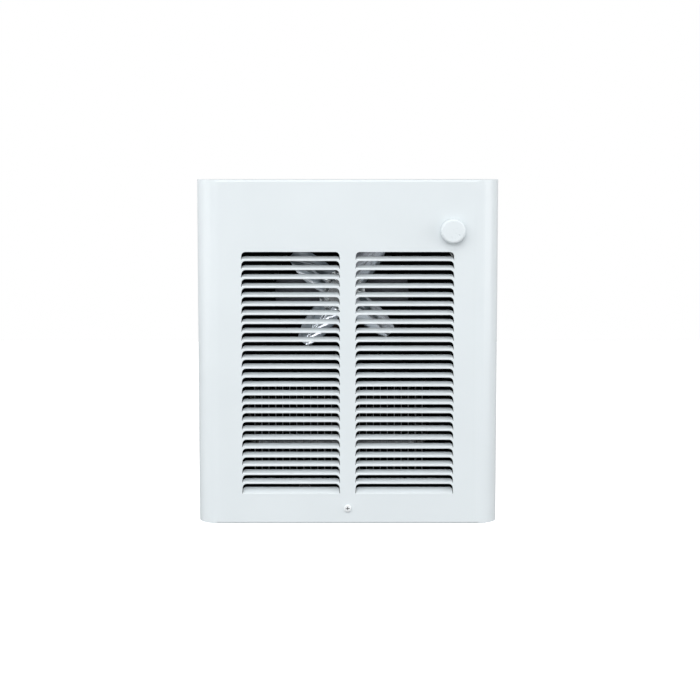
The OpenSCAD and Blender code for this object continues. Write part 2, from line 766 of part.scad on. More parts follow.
// Round knob: a cap with a hollow back and a socket for the flatted shaft
module control_knob() color(white_enamel) difference() {
    union() {
        difference() {
            facing_room(knob_x, face_y - knob_gap, knob_z) rotate_extrude() knob_profile();
            facing_room(knob_x, face_y - knob_gap, knob_z) translate([0, 0, -1])
                cylinder(h = knob_h - 1.5, r = knob_dia / 2 - 2.2);
        }
        rod_y(knob_x, knob_z, face_y - knob_gap - knob_h + 1.5, face_y - knob_gap, 6);
    }
    difference() {
        rod_y(knob_x, knob_z, face_y - 7, face_y + 1, 3);
        rotate_about_knob() block([-4, face_y - 8, 1.6], [4, face_y + 2, 5]);
    }
    translate([knob_x + 9.6 * cos(dot_angle), face_y - knob_gap - knob_h - 1.6, knob_z + 9.6 * sin(dot_angle)])
        sphere(r = 2.4);
}

// ---------------------------------------------------------------- tubes along a route

function unit(v) = v / norm(v);
function knot(p, i) = p[max(0, min(len(p) - 1, i))];
function blend(a, b, c, d, t) =
    0.5 * (2 * b + (c - a) * t + (2 * a - 5 * b + 4 * c - d) * t * t + (3 * b - a - 3 * c + d) * t * t * t);

// Points of a smooth curve through every point of a route
function smooth(p, steps) = concat(
    [for (i = [0:len(p) - 2], j = [0:steps - 1]) blend(knot(p, i - 1), p[i], p[i + 1], knot(p, i + 2), j / steps)],
    [p[len(p) - 1]]);
function heading(p, i) = unit(knot(p, i + 1) - knot(p, i - 1));
function across(p, n, i = 0) = i == len(p) ? [] :
    let (t = heading(p, i), m = unit(n - (n * t) * t)) concat([m], across(p, m, i + 1));

// A round bar through the points p, whose first ring starts at the direction start
module swept(p, r, start, sides) {
    n = across(p, start);
    rings = len(p);
    points = [for (i = [0:rings - 1]) let (u = n[i], v = cross(heading(p, i), u))
        for (k = [0:sides - 1]) p[i] + r * (cos(k * 360 / sides) * u + sin(k * 360 / sides) * v)];
    walls = [for (i = [0:rings - 2], k = [0:sides - 1])
        let (a = i * sides + k, b = i * sides + (k + 1) % sides) each [[a, b + sides, b], [a, a + sides, b + sides]]];
    caps = [for (k = [1:sides - 2]) each [[0, k, k + 1],
        [(rings - 1) * sides, (rings - 1) * sides + k + 1, (rings - 1) * sides + k]]];
    polyhedron(points, concat(walls, caps));
}

module tube(route, r, start) swept(smooth(route, 5), r, start, 8);

// Sensing bulb in the intake air, with the fine tube that joins it to the thermostat
bulb_at = [170, -82];
bulb_z = [70, 130];
capillary_route = [[158, -100, 150.5], [158, -100, 145], [162, -97, 139], [168, -89, 138], [170, -83, 135], [170, -82, 129.5]];

module thermostat_bulb() color("#b87a4a") {
    rod_z(bulb_at.x, bulb_at.y, bulb_z[0], bulb_z[1], 2.8);
    for (z = [bulb_z[0] + 12, bulb_z[1] - 14])
        block([bulb_at.x - 2, bulb_at.y, z], [bulb_at.x + 2, deck_y, z + 6]);
    tube(capillary_route, 0.9, [1, 0, 0]);
}

// ---------------------------------------------------------------- safety and other switches

module disc_switch(x, z, front) {
    rod_y(x, z, front, deck_y + 10, 8);
    rod_y(x, z, deck_y - 1.6, deck_y, 9.6);
    for (side = [-1, 1]) block([x + side * 4 - 0.4, deck_y + 9, z - 3], [x + side * 4 + 0.4, deck_y + 18, z + 3]);
}

// Manual-reset thermal cut-out between the fan and the element
module thermal_cutout() color(phenolic) difference() {
    disc_switch(0, cutout_z, deck_y - 9);
    rod_y(0, cutout_z, deck_y - 10, deck_y - 3, reset_dia / 2 + 0.05);
}

module reset_button() color("#b3261e") rod_y(0, cutout_z, deck_y - 11.5, deck_y - 5.2, reset_dia / 2);

module fan_delay_switch() color(phenolic) disc_switch(-60, delay_z, deck_y - 8);

// Two-pole switch set in the deck, with the well that its rocker tips in
module disconnect_switch() color(phenolic) difference() {
    union() {
        along_y(deck_y - 2, deck_y) rounded([switch_x - 12.5, switch_z - 17], [switch_x + 12.5, switch_z + 17], 2);
        block([switch_x - 9.8, deck_y - eps, switch_z - 13.8], [switch_x + 9.8, deck_y + 22, switch_z + 13.8]);
        for (x = [-5, 5], z = [-7, 7]) block([switch_x + x - 0.4, deck_y + 21, switch_z + z - 3],
            [switch_x + x + 0.4, deck_y + 30, switch_z + z + 3]);
    }
    block([switch_x - 6.8, deck_y - 3, switch_z - 11], [switch_x + 6.8, deck_y + 13, switch_z + 11]);
    rod_x(pivot_y, switch_z, switch_x - 8.5, switch_x + 8.5, 1.55);
}

module disconnect_rocker() color("#101012") translate([0, pivot_y, switch_z]) rotate([rocker_tilt, 0, 0]) {
    along_x(switch_x - rocker_w / 2, switch_x + rocker_w / 2) intersection() {
        circle(r = rocker_r);
        polygon([[-7.6, -12], [-5.4, 0], [-7.6, 12], [5, 12], [5, -12]]);
    }
    rod_x(0, 0, switch_x - 8.4, switch_x + 8.4, 1.5);
}

// ---------------------------------------------------------------- wiring

block_at = [150, -120];
module terminal_block() color("#e9e6dc") difference() {
    union() {
        block([block_at.x - 12, -2 * box_t - 15, block_at.y - 27], [block_at.x + 12, -box_t, block_at.y + 27]);
        for (z = [-27, -9, 9, 26]) block([block_at.x - 12, -2 * box_t - 19, block_at.y + z],
            [block_at.x + 12, -2 * box_t - 14, block_at.y + z + 1.5]);
    }
    for (x = [-6, 6], z = [-17.5, 0.5, 18]) rod_y(block_at.x + x, block_at.y + z, -18, -9, 2.2);
}

module terminal_screws() color(bright) for (x = [-6, 6], z = [-17.5, 0.5, 18])
    facing_room(block_at.x + x, -2 * box_t - 15, block_at.y + z) pan_screw(3.4, 2, 2.15, 7.8);

lead_r = 1.3;
element_routes = [
    [[136.7, -46.4, -66.7], [137, -40, -64], [142, -36, -40], [154, -38, 0], [157, -38, 26], [157, -41.9, 33]],
    [[136.7, -46.4, -156], [138, -38, -154], [141, -30, -146], [144, -19.3, -137.5]]];
motor_routes = [
    [[18.8 + fan_x, -12, 34], [26 + fan_x, -12, 32], [60, -10, 26], [100, -22, 20], [118.5, -37.5, 18], [130, -38, 10],
     [137, -32, -30], [144, -30, -92], [144, -19.3, -102]],
    [[18.8 + fan_x, -12, 48], [28 + fan_x, -12, 44], [60, -14, 34], [100, -26, 26], [118.5, -34.5, 22], [132, -33, 16],
     [148, -28, -20], [150, -32, -108], [144, -19.3, -119.5]]];
control_routes = [
    [[130, -88, 158.4], [132, -84, 150], [143, -78, 132], [147, -72, 123], [150, -62, 110], [157, -40, 70],
     [157, -38, 54], [157, -41.9, 47]],
    [[142, -88, 158.4], [146, -84, 148], [150, -78, 134], [153, -72, 127], [157, -62, 112], [167, -40, 72],
     [167, -38, 54], [167, -41.9, 47]]];

module element_leads() color("#8a1f1f") for (route = element_routes) tube(route, lead_r, [1, 0, 0]);
module motor_leads() color("#222222") for (route = motor_routes) tube(route, lead_r, [0, 0, 1]);
module control_leads() color("#d9d9d6") for (route = control_routes) tube(route, lead_r, [1, 0, 0]);

front_cover();
cover_screw();
cover_bracket();
hanger_tabs();
wall_box_wrapper();
wall_box_top();
wall_box_bottom();
supply_bushing();
ground_screw();
fan_deck();
deck_screws();
orifice_ring();
control_partition();
air_baffle();
motor_strap();
motor_stator();
motor_bobbin();
motor_coil();
motor_front_bracket();
motor_rear_bracket();
motor_bearings();
motor_bolts();
motor_rotor();
motor_shaft();
fan_blade();
fan_hub();
fan_rivets();
fan_set_screw();
element_sheath();
element_fins();
element_end_plates();
terminal_insulators();
terminal_pins();
outlet_guard();
guard_legs();
thermostat_bracket();
thermostat_body();
thermostat_shaft();
control_knob();
thermostat_bulb();
thermal_cutout();
reset_button();
fan_delay_switch();
disconnect_switch();
disconnect_rocker();
terminal_block();
terminal_screws();
element_leads();
motor_leads();
control_leads();
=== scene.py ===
# %% [markdown]
# # A recessed bathroom heater, dressed in Blender
# The heater is a louvred enamel cover over a galvanised box that is let into a wall. Its solids
# come packed as a fixed frame, in metres: X points right, Y into the wall and Z up. This lesson
# gives them their finishes, and models the small things that a drawing of sheet parts leaves out.

import json
import math

import bmesh
import bpy
from mathutils import Matrix, Vector

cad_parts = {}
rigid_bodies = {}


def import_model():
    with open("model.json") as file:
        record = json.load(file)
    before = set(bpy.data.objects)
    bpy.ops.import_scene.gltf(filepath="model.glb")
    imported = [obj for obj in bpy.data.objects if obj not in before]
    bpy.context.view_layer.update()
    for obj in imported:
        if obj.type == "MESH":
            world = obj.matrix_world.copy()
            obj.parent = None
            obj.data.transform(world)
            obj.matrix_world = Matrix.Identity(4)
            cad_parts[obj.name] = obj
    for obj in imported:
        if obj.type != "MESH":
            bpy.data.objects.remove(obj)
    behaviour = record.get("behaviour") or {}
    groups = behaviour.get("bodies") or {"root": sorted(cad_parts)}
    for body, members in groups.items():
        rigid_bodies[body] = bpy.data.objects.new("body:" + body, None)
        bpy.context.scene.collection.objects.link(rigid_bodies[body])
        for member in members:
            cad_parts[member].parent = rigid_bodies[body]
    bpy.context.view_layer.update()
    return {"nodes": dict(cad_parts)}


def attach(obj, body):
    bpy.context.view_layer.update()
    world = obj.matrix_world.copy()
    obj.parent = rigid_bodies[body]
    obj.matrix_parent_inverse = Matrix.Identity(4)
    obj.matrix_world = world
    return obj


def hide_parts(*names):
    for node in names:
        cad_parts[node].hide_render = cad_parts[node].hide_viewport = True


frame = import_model()

# %% [markdown]
# ## Camera
# The photograph is taken from a little above the heater, through a long lens, so that its sides
# hardly draw together. The camera stands 2.4 m before the cover and looks slightly down. A small
# shift keeps it more level, as the photographer did, without tipping the heater's upright edges.

# %% Camera at the photograph's angle
EYE = (0.0032, -2.536, 0.2734)
TILT_DOWN = math.radians(5.718)
bpy.ops.object.camera_add(location=EYE, rotation=(math.radians(90) - TILT_DOWN, 0, 0))
camera = bpy.context.object
camera.name = "photo_camera"
camera.data.lens = 91.52
camera.data.sensor_width = 36
camera.data.shift_y = -0.03
bpy.context.scene.camera = camera
print("camera lens", camera.data.lens, "mm")

# %% [markdown]
# ## Surround
# The heater hangs before plain white. The surround is white to look at but dimmer as a lamp,
# which keeps the shadows: a Light Path node tells the two apart. As a lamp it has large bright
# and dark patches, because metal mirrors what is round it, and in an even light it looks flat.

# %% White surround with uneven light
PATCHES = {"Scale": 2.4, "Detail": 1.0}
PATCH_STRENGTH = {"From Min": 0.36, "From Max": 0.64, "To Min": 0.06, "To Max": 0.80}
scene = bpy.context.scene
scene.view_settings.view_transform = "Standard"
scene.world = bpy.data.worlds.new("surround")
scene.world.use_nodes = True
sky, wires = scene.world.node_tree.nodes, scene.world.node_tree.links
glow = sky["Background"]
direction = sky.new("ShaderNodeTexCoord")
patches = sky.new("ShaderNodeTexNoise")
strength = sky.new("ShaderNodeMapRange")
for node, values in ((patches, PATCHES), (strength, PATCH_STRENGTH)):
    for socket, value in values.items():
        node.inputs[socket].default_value = value
wires.new(direction.outputs["Generated"], patches.inputs["Vector"])
wires.new(patches.outputs[0], strength.inputs["Value"])
wires.new(strength.outputs["Result"], glow.inputs["Strength"])
backdrop = sky.new("ShaderNodeBackground")
backdrop.inputs["Color"].default_value = glow.inputs["Color"].default_value = (1, 1, 1, 1)
seen = sky.new("ShaderNodeLightPath")
choice = sky.new("ShaderNodeMixShader")
wires.new(seen.outputs["Is Camera Ray"], choice.inputs["Fac"])
wires.new(glow.outputs["Background"], choice.inputs[1])
wires.new(backdrop.outputs["Background"], choice.inputs[2])
wires.new(choice.outputs["Shader"], sky["World Output"].inputs["Surface"])
print("surround nodes:", len(sky))

# %% [markdown]
# ## Floor
# The photograph has no floor in it, so a pale one lies well below the frame, and it neither
# lights the heater nor shows in its gloss.

# %% Pale floor
bpy.ops.mesh.primitive_plane_add(size=14, location=(0, 0, -0.75))
floor = bpy.context.object
floor.name = "pale_floor"
floor.visible_diffuse = floor.visible_glossy = False
print("floor level:", floor.location.z)

# %% [markdown]
# ## Studio
# Most of the light comes from above and in front, from one wide sun: it brightens the upper side
# of every louvre but can't pass between them, so the inside stays dark. A broad lamp at a lower
# angle reaches into the louvres. Weak lamps stand for light from the ceiling and the floor, and
# those at the sides and behind model the rims and the box's back.


# %% Helpers for lamps
def facing(light, target):
    """Turns a lamp towards a point."""
    light.rotation_mode = "QUATERNION"
    light.rotation_quaternion = (Vector(target) - light.location).to_track_quat("-Z", "Y")


def soft_light(name, place, target, size, power):
    """A rectangular lamp that faces a point."""
    bpy.ops.object.light_add(type="AREA", location=place)
    light = bpy.context.object
    light.name = name
    light.data.shape = "RECTANGLE"
    light.data.size, light.data.size_y = size
    light.data.energy = power
    facing(light, target)
    return light


# %% Lamps above
bpy.ops.object.light_add(type="SUN", location=(-0.25, -1.75, 1.45))
daylight = bpy.context.object
daylight.name = "high_daylight"
daylight.data.energy = 1.38
daylight.data.angle = math.radians(60)
facing(daylight, (0, 0, 0))
soft_light("top_light", (0.1, -0.9, 1.5), target=(0, -0.1, 0.1), size=(1.6, 0.8), power=0.7)
soft_light("low_light", (-0.3, -2.6, 1.15), target=(0, 0, 0), size=(1.2, 0.6), power=8)
print("sun energy:", round(daylight.data.energy, 2))

# %% [markdown]
# ### A strip for the fan
# Behind the louvres one blade of the fan glitters. Bent metal mirrors only a small part of the
# room, so a long narrow lamp stands where the blade mirrors it to the camera, and is turned about
# its own beam until it lies across the blade.

# %% Slanting strip
BLADE_SPOT, ACROSS_BLADE = Vector((-0.05, -0.075, 0.025)), Vector((-0.8, 0, 0.6))
strip = soft_light("fan_light", (-1.0, -1.13, 0.62), BLADE_SPOT, size=(1.3, 0.12), power=3)
outward = (strip.location - BLADE_SPOT).normalized()
upward = outward.cross(ACROSS_BLADE).normalized()
turned = Matrix((upward.cross(outward), upward, outward)).transposed()
strip.rotation_quaternion = turned.to_quaternion()
print("strip's short side points to", [round(u, 2) for u in upward])

# %% [markdown]
# ### Lamps round the heater
# Left and right differ in strength, so that no two neighbouring faces look alike.

# %% Lamps below, at the sides and behind
soft_light("floor_glow", (0, -0.9, -0.9), target=(0, -0.1, -0.1), size=(1.6, 0.8), power=0.7)
for side in (-1, 1):
    beside, behind = (side * 1.6, -0.6, 0.35), (side * 1.4, 1.5, 1.2)
    soft_light("side_light", beside, target=(0, 0, 0.05), size=(1.2, 1.0), power=7 + 2 * side)
    soft_light("back_light", behind, target=(0, 0, 0), size=(1.8, 1.8), power=18 - 7 * side)

# %% [markdown]
# ## Softer edges
# No folded, cast or moulded edge is knife-sharp, and the thin highlight along it is what the eye
# reads as solid. Each node gets a free copy: its doubled corners are merged, the facets of each
# flat face are joined up, and its sharp edges are rounded. The width of the rounding, and the
# shortest edge that it is given to, are listed for each node in millimetres. The copy then takes
# its node's place, and rides on the same body.

# %% Helpers for new pieces
SHARP = math.radians(35)
DRESSED = {}


def pick(*pieces):
    """Selects only these objects, the first of them active."""
    bpy.ops.object.select_all(action="DESELECT")
    for piece in pieces:
        piece.select_set(True)
    bpy.context.view_layer.objects.active = pieces[0]


def free_copy(node):
    """A copy of a CAD node with its own clean mesh."""
    piece = bpy.data.objects.new(node + "_dressed", frame["nodes"][node].data.copy())
    bpy.context.collection.objects.link(piece)
    pick(piece)
    bpy.ops.mesh.customdata_custom_splitnormals_clear()
    bpy.ops.object.mode_set(mode="EDIT")
    bpy.ops.mesh.select_all(action="SELECT")
    bpy.ops.mesh.remove_doubles(threshold=1e-6)
    bpy.ops.mesh.dissolve_limited(angle_limit=math.radians(0.5))
    bpy.ops.mesh.normals_make_consistent(inside=False)
    bpy.ops.object.mode_set(mode="OBJECT")
    return piece


def cut_level(piece, height):
    """Adds a level line round a piece, which keeps the shading above it from spreading below."""
    pick(piece)
    bpy.ops.object.mode_set(mode="EDIT")
    bpy.ops.mesh.select_all(action="SELECT")
    bpy.ops.mesh.bisect(plane_co=(0, 0, height), plane_no=(0, 0, 1))
    bpy.ops.object.mode_set(mode="OBJECT")


def round_edges(piece, width, shortest):
    """Rounds the sharp edges of a piece that are longer than a limit, both in millimetres."""
    pick(piece)
    bpy.ops.object.mode_set(mode="EDIT")
    bpy.ops.mesh.select_mode(type="EDGE")
    bpy.ops.mesh.select_all(action="DESELECT")
    mesh = bmesh.from_edit_mesh(piece.data)
    for edge in mesh.edges:
        sharp = edge.is_manifold and edge.calc_face_angle() > SHARP
        edge.select = sharp and edge.calc_length() > shortest / 1000
    bmesh.update_edit_mesh(piece.data)
    bpy.ops.mesh.bevel(offset=width / 1000, segments=2, affect="EDGES", clamp_overlap=False)
    bpy.ops.object.mode_set(mode="OBJECT")


def smooth(piece, angle=50):
    """Shades a piece smooth, while its large faces keep their own flat normals."""
    pick(piece)
    bpy.ops.mesh.customdata_custom_splitnormals_clear()
    bpy.ops.object.shade_smooth_by_angle(angle=math.radians(angle))
    flatter = piece.modifiers.new("flatter", "WEIGHTED_NORMAL")
    flatter.weight, flatter.keep_sharp = 50, True
    bpy.ops.object.modifier_apply(modifier=flatter.name)


def stand_in(piece, node):
    """Puts a piece in the place of a CAD node: it rides on the same body."""
    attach(piece, frame["nodes"][node].parent.name.split(":")[1])
    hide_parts(node)
    DRESSED[node] = piece


# %% Round the edges of sheet, castings and mouldings
FACE_ENDS = (-0.2312, 0.2312)
EDGES = {
    "front_cover": (0.3, 0.6), "control_knob": (0.24, 0.6), "cover_bracket": (0.25, 0),
    "hanger_tabs": (0.25, 0), "wall_box_wrapper": (0.4, 20), "wall_box_top": (0.25, 0),
    "wall_box_bottom": (0.25, 20), "supply_bushing": (0.24, 0), "ground_screw": (0.2, 0),
    "fan_deck": (0.25, 1), "deck_screws": (0.06, 0), "orifice_ring": (0.2, 0),
    "control_partition": (0.25, 20), "air_baffle": (0.25, 0), "motor_strap": (0.18, 0.3),
    "motor_stator": (0.2, 0.3), "motor_bobbin": (0.3, 0), "motor_coil": (0.5, 0),
    "motor_front_bracket": (0.3, 0.3), "motor_rear_bracket": (0.3, 0), "motor_bolts": (0.2, 0.3),
    "fan_blade": (0.2, 0), "fan_hub": (0.25, 0.3), "element_end_plates": (0.2, 0),
    "terminal_insulators": (0.4, 0), "terminal_pins": (0.15, 0), "thermostat_bracket": (0.25, 2),
    "thermostat_body": (0.5, 1), "thermostat_shaft": (0.2, 0.3), "thermal_cutout": (0.3, 0),
    "reset_button": (0.4, 0), "fan_delay_switch": (0.3, 0), "disconnect_switch": (0.4, 1),
    "disconnect_rocker": (0.4, 0), "terminal_block": (0.4, 2), "terminal_screws": (0.15, 0.3),
}
for node, (width, shortest) in EDGES.items():
    piece = free_copy(node)
    if node == "front_cover":
        for height in FACE_ENDS:
            cut_level(piece, height)
    round_edges(piece, width, shortest)
    smooth(piece)
    stand_in(piece, node)
print("rounded:", len(DRESSED), "faces:", sum(len(p.data.polygons) for p in DRESSED.values()))

# %% [markdown]
# ## Smooth tubes
# The bent sheath and the leads come as tubes with eight or sixteen flat sides. One round of
# subdivision turns them into smooth tubes that keep their bends.

# %% Subdivide the bent tubes
for node in ("element_sheath", "thermostat_bulb", "element_leads", "motor_leads", "control_leads"):
    piece = free_copy(node)
    rounder = piece.modifiers.new("rounder", "SUBSURF")
    rounder.levels = 1
    bpy.ops.object.modifier_apply(modifier=rounder.name)
    bpy.ops.object.shade_smooth_by_angle(angle=math.radians(40))
    stand_in(piece, node)
    print(node, len(piece.data.polygons), "faces")

# %% [markdown]
# ## The lowest louvres
# Every blade but the last has a slot below it, which cuts its lip short. The last one of each
# bank has none and rolls out further down the face. Its lip is moved as by hand: the points
# round it are selected by their place and pulled down.

# %% Pull the lowest lips down
LAST_LIP, LIP_HALF_HEIGHT, LIP_REACH = -0.1903, 0.0013, 0.003
LIP_FRONT, LIP_BACK = -0.1365, -0.1336
cover = DRESSED["front_cover"]
pick(cover)
bpy.ops.object.mode_set(mode="EDIT")
bpy.ops.mesh.select_all(action="DESELECT")
mesh = bmesh.from_edit_mesh(cover.data)
for point in mesh.verts:
    level = LAST_LIP - LIP_HALF_HEIGHT < point.co.z < LAST_LIP + LIP_HALF_HEIGHT
    point.select = level and LIP_FRONT < point.co.y < LIP_BACK
mesh.select_flush_mode()
print("lip points:", sum(point.select for point in mesh.verts))
bmesh.update_edit_mesh(cover.data)
bpy.ops.transform.translate(value=(0, 0, -LIP_REACH))
bpy.ops.object.mode_set(mode="OBJECT")
smooth(cover)

# %% [markdown]
# ## A folded corner
# Where a slot's end was rounded, two points have passed each other, and the small face between
# them has turned over, which shows as a slanting line on the face. Merged to one point, they
# leave no such face.

# %% Mend the folded corner
FOLD, FOLD_REACH = Vector((-0.1435, -0.136, -0.0976)), 0.0004
mesh = bmesh.new()
mesh.from_mesh(cover.data)
folded = [point for point in mesh.verts if (point.co - FOLD).length < FOLD_REACH]
bmesh.ops.pointmerge(mesh, verts=folded, merge_co=FOLD)
mesh.to_mesh(cover.data)
mesh.free()
smooth(cover)
print("points merged:", len(folded))

# %% [markdown]
# ## A flat face
# At the edge of every slot the smoothed normals still lean a little, and on an enamel this even
# the eye sees it. The faces of the flat front get their own normal back at all their corners.

# %% Keep the face flat
FACE_DEPTH = -0.1359
normals = [corner.vector.copy() for corner in cover.data.corner_normals]
flat_faces = [f for f in cover.data.polygons if f.normal.y < -0.9999 and f.center.y < FACE_DEPTH]
for face in flat_faces:
    for index in face.loop_indices:
        normals[index] = face.normal.copy()
cover.data.normals_split_custom_set(normals)
print("flat faces:", len(flat_faces))

# %% [markdown]
# ## Pressed fan spider
# The fan is pressed from sheet, and ribs and a ring bead round the hub stiffen it: they are what
# glitters behind the louvres. Each rib is a ball squeezed to a long low blister, half sunk into
# the sheet. Eight turned copies, four longer ones along the blades and a ring, half sunk as well,
# are joined to the fan.


# %% The blister and its copies round the hub
def placed_copy(source, name, place):
    """A copy of a small piece with its own mesh, moved there by a matrix."""
    copy = bpy.data.objects.new(name, source.data.copy())
    bpy.context.collection.objects.link(copy)
    copy.data.transform(place)
    return copy


SPIDER_FACE = Vector((-0.008, -0.0748, 0.077))
RIB_HALVES, RIB_RADIUS, RIB_START = (0.0052, 0.0009, 0.0015), 0.0268, math.radians(28.5)
bpy.ops.mesh.primitive_uv_sphere_add(segments=20, ring_count=10, radius=1)
rib = bpy.context.object
bpy.ops.object.shade_smooth()
bpy.ops.transform.resize(value=RIB_HALVES)
bpy.ops.object.transform_apply(location=False, rotation=False, scale=True)
to_hub, to_ring = Matrix.Translation(SPIDER_FACE), Matrix.Translation((RIB_RADIUS, 0, 0))
beads = []
for step in range(8):
    turn = Matrix.Rotation(-RIB_START - step * math.pi / 4, 4, "Y")
    beads.append(placed_copy(rib, "fan_rib", to_hub @ turn @ to_ring))
print("ribs round the hub:", len(beads))

# %% [markdown]
# A blade is twisted, so its rib can't just be turned in the fan's plane. Three directions, along
# the rib, across it and out of the sheet, make the matrix that lays the blister down.

# %% Ribs along the blades
RIB_ROOT, RIB_TIP = Vector((-0.0467, -0.0705, 0.0424)), Vector((-0.0551, -0.0775, 0.0073))
BLADE_NORMAL = Vector((-0.30, -0.92, 0.245))
LONGER, WIDER, LOWER = (RIB_TIP - RIB_ROOT).length * 0.6 / RIB_HALVES[0], 1.6, 0.5
along = (RIB_TIP - RIB_ROOT).normalized()
across = BLADE_NORMAL.cross(along).normalized()
lie = Matrix((along, across, along.cross(across))).transposed().to_4x4()
to_middle = Matrix.Translation((RIB_ROOT + RIB_TIP) / 2 - SPIDER_FACE)
on_blade = to_middle @ lie @ Matrix.Diagonal((LONGER, WIDER, LOWER, 1))
for step in range(4):
    turn = Matrix.Rotation(step * math.pi / 2, 4, "Y")
    beads.append(placed_copy(rib, "blade_rib", to_hub @ turn @ on_blade))
bpy.data.objects.remove(rib)
print("ribs in all:", len(beads))

# %% [markdown]
# The ring bead is a torus. Joined to the fan, the ribs and the ring turn with it as one piece.

# %% Ring bead
bpy.ops.mesh.primitive_torus_add(
    major_segments=72, minor_segments=12, major_radius=0.0208, minor_radius=0.0011,
    location=SPIDER_FACE, rotation=(math.radians(90), 0, 0),
)
beads.append(bpy.context.object)
bpy.ops.object.shade_smooth()
fan = DRESSED["fan_blade"]
pick(fan, *beads)
bpy.ops.object.join()
print("fan blade faces:", len(fan.data.polygons))

# %% [markdown]
# ## Cover screw
# A pan-head screw: a short drum whose front rim is rounded over, on a thinner shank.

# %% Pan head and shank
SCREW_SEAT = Vector((0, -0.136, -0.2136))
HEAD_RADIUS, HEAD_HEIGHT, HEAD_ROUNDING = 0.00525, 0.0028, 0.0019


def drum(radius, front, back, vertices=48):
    """A round bar along Y, between two depths from the screw's seat."""
    bpy.ops.mesh.primitive_cylinder_add(
        vertices=vertices, radius=radius, depth=back - front,
        location=SCREW_SEAT + Vector((0, (front + back) / 2, 0)), rotation=(math.radians(90), 0, 0),
    )
    bpy.ops.object.transform_apply(location=True, rotation=True, scale=True)
    return bpy.context.object


screw = drum(HEAD_RADIUS, front=-HEAD_HEIGHT, back=0)
bpy.ops.object.mode_set(mode="EDIT")
bpy.ops.mesh.select_mode(type="FACE")
bpy.ops.mesh.select_all(action="DESELECT")
mesh = bmesh.from_edit_mesh(screw.data)
for face in mesh.faces:
    face.select = face.normal.y < -0.9
bmesh.update_edit_mesh(screw.data)
bpy.ops.mesh.region_to_loop()
bpy.ops.mesh.bevel(offset=HEAD_ROUNDING, segments=7, affect="EDGES")
bpy.ops.object.mode_set(mode="OBJECT")
shank = drum(radius=0.0021, front=-0.0005, back=0.0098, vertices=24)
pick(screw, shank)
bpy.ops.object.join()
print("pan head faces:", len(screw.data.polygons))

# %% [markdown]
# The cross recess is cut with two bars. Each is drawn in at its inner end, where an edge on its
# left side is selected and scaled, so the recess is uneven, as one that is often used becomes.

# %% Cross recess
HEAD_FRONT = SCREW_SEAT + Vector((0, -HEAD_HEIGHT, 0))
RECESS_SPAN, RECESS_WIDTH, PUNCH_LENGTH, PUNCH_TAPER = 0.0056, 0.0011, 0.0034, 0.35


def cut_away(piece, tool, name):
    """Cuts the shape of a tool out of a piece, and removes the tool."""
    cut = piece.modifiers.new(name, "BOOLEAN")
    cut.object, cut.operation, cut.solver = tool, "DIFFERENCE", "EXACT"
    pick(piece)
    bpy.ops.object.modifier_apply(modifier=cut.name)
    bpy.data.objects.remove(tool)


for width, height in ((RECESS_SPAN, RECESS_WIDTH), (RECESS_WIDTH, RECESS_SPAN)):
    bpy.ops.mesh.primitive_cube_add(size=1, location=HEAD_FRONT)
    punch = bpy.context.object
    bpy.ops.transform.resize(value=(width, PUNCH_LENGTH, height))
    bpy.ops.object.transform_apply(location=True, rotation=True, scale=True)
    bpy.ops.object.mode_set(mode="EDIT")
    bpy.ops.mesh.select_mode(type="EDGE")
    bpy.ops.mesh.select_all(action="DESELECT")
    mesh = bmesh.from_edit_mesh(punch.data)
    for edge in mesh.edges:
        edge.select = all(end.co.x < 0 and end.co.y > HEAD_FRONT.y for end in edge.verts)
    bmesh.update_edit_mesh(punch.data)
    bpy.ops.transform.resize(value=(PUNCH_TAPER, 1, PUNCH_TAPER))
    bpy.ops.object.mode_set(mode="OBJECT")
    cut_away(screw, punch, "recess")
screw.name = "cover_screw_dressed"
smooth(screw, 35)
stand_in(screw, "cover_screw")
print("screw faces:", len(screw.data.polygons))

# %% [markdown]
# ## Stamped beads of the box
# A wide flat sheet drums and bends, so shallow beads are stamped into the box's back, sides and
# top. Each is cut with a ball squeezed to a long lens, which leaves a soft hollow at most 0.8 mm
# deep in sheet of one millimetre.

# %% Press the beads
BACK_BEAD, SIDE_BEAD = (0.0055, 0.0008, 0.14), (0.0007, 0.005, 0.066)
TOP_BEAD = (0.12, 0.005, 0.0007)
BEADS = {
    "wall_box_wrapper": [
        ((-0.07, 0, 0.01), BACK_BEAD), ((0.07, 0, 0.01), BACK_BEAD),
        ((-0.182, -0.062, 0), SIDE_BEAD), ((0.182, -0.062, 0), SIDE_BEAD),
    ],
    "wall_box_top": [((0, -0.03, 0.215), TOP_BEAD), ((0, -0.065, 0.215), TOP_BEAD)],
}
for node, places in BEADS.items():
    for place, halves in places:
        bpy.ops.mesh.primitive_uv_sphere_add(segments=48, ring_count=24, radius=1, location=place)
        lens = bpy.context.object
        bpy.ops.transform.resize(value=halves)
        bpy.ops.object.transform_apply(location=True, rotation=True, scale=True)
        cut_away(DRESSED[node], lens, "bead")
    smooth(DRESSED[node], 35)
    print(node, "faces:", len(DRESSED[node].data.polygons))

# %% [markdown]
# ## Spot welds
# The wrapper's sides are spot-welded to flanges of the box's top and bottom. An electrode leaves
# a shallow round print with a raised rim. One print is made from a disc by inset and extrude,
# and twelve copies are joined to one piece.

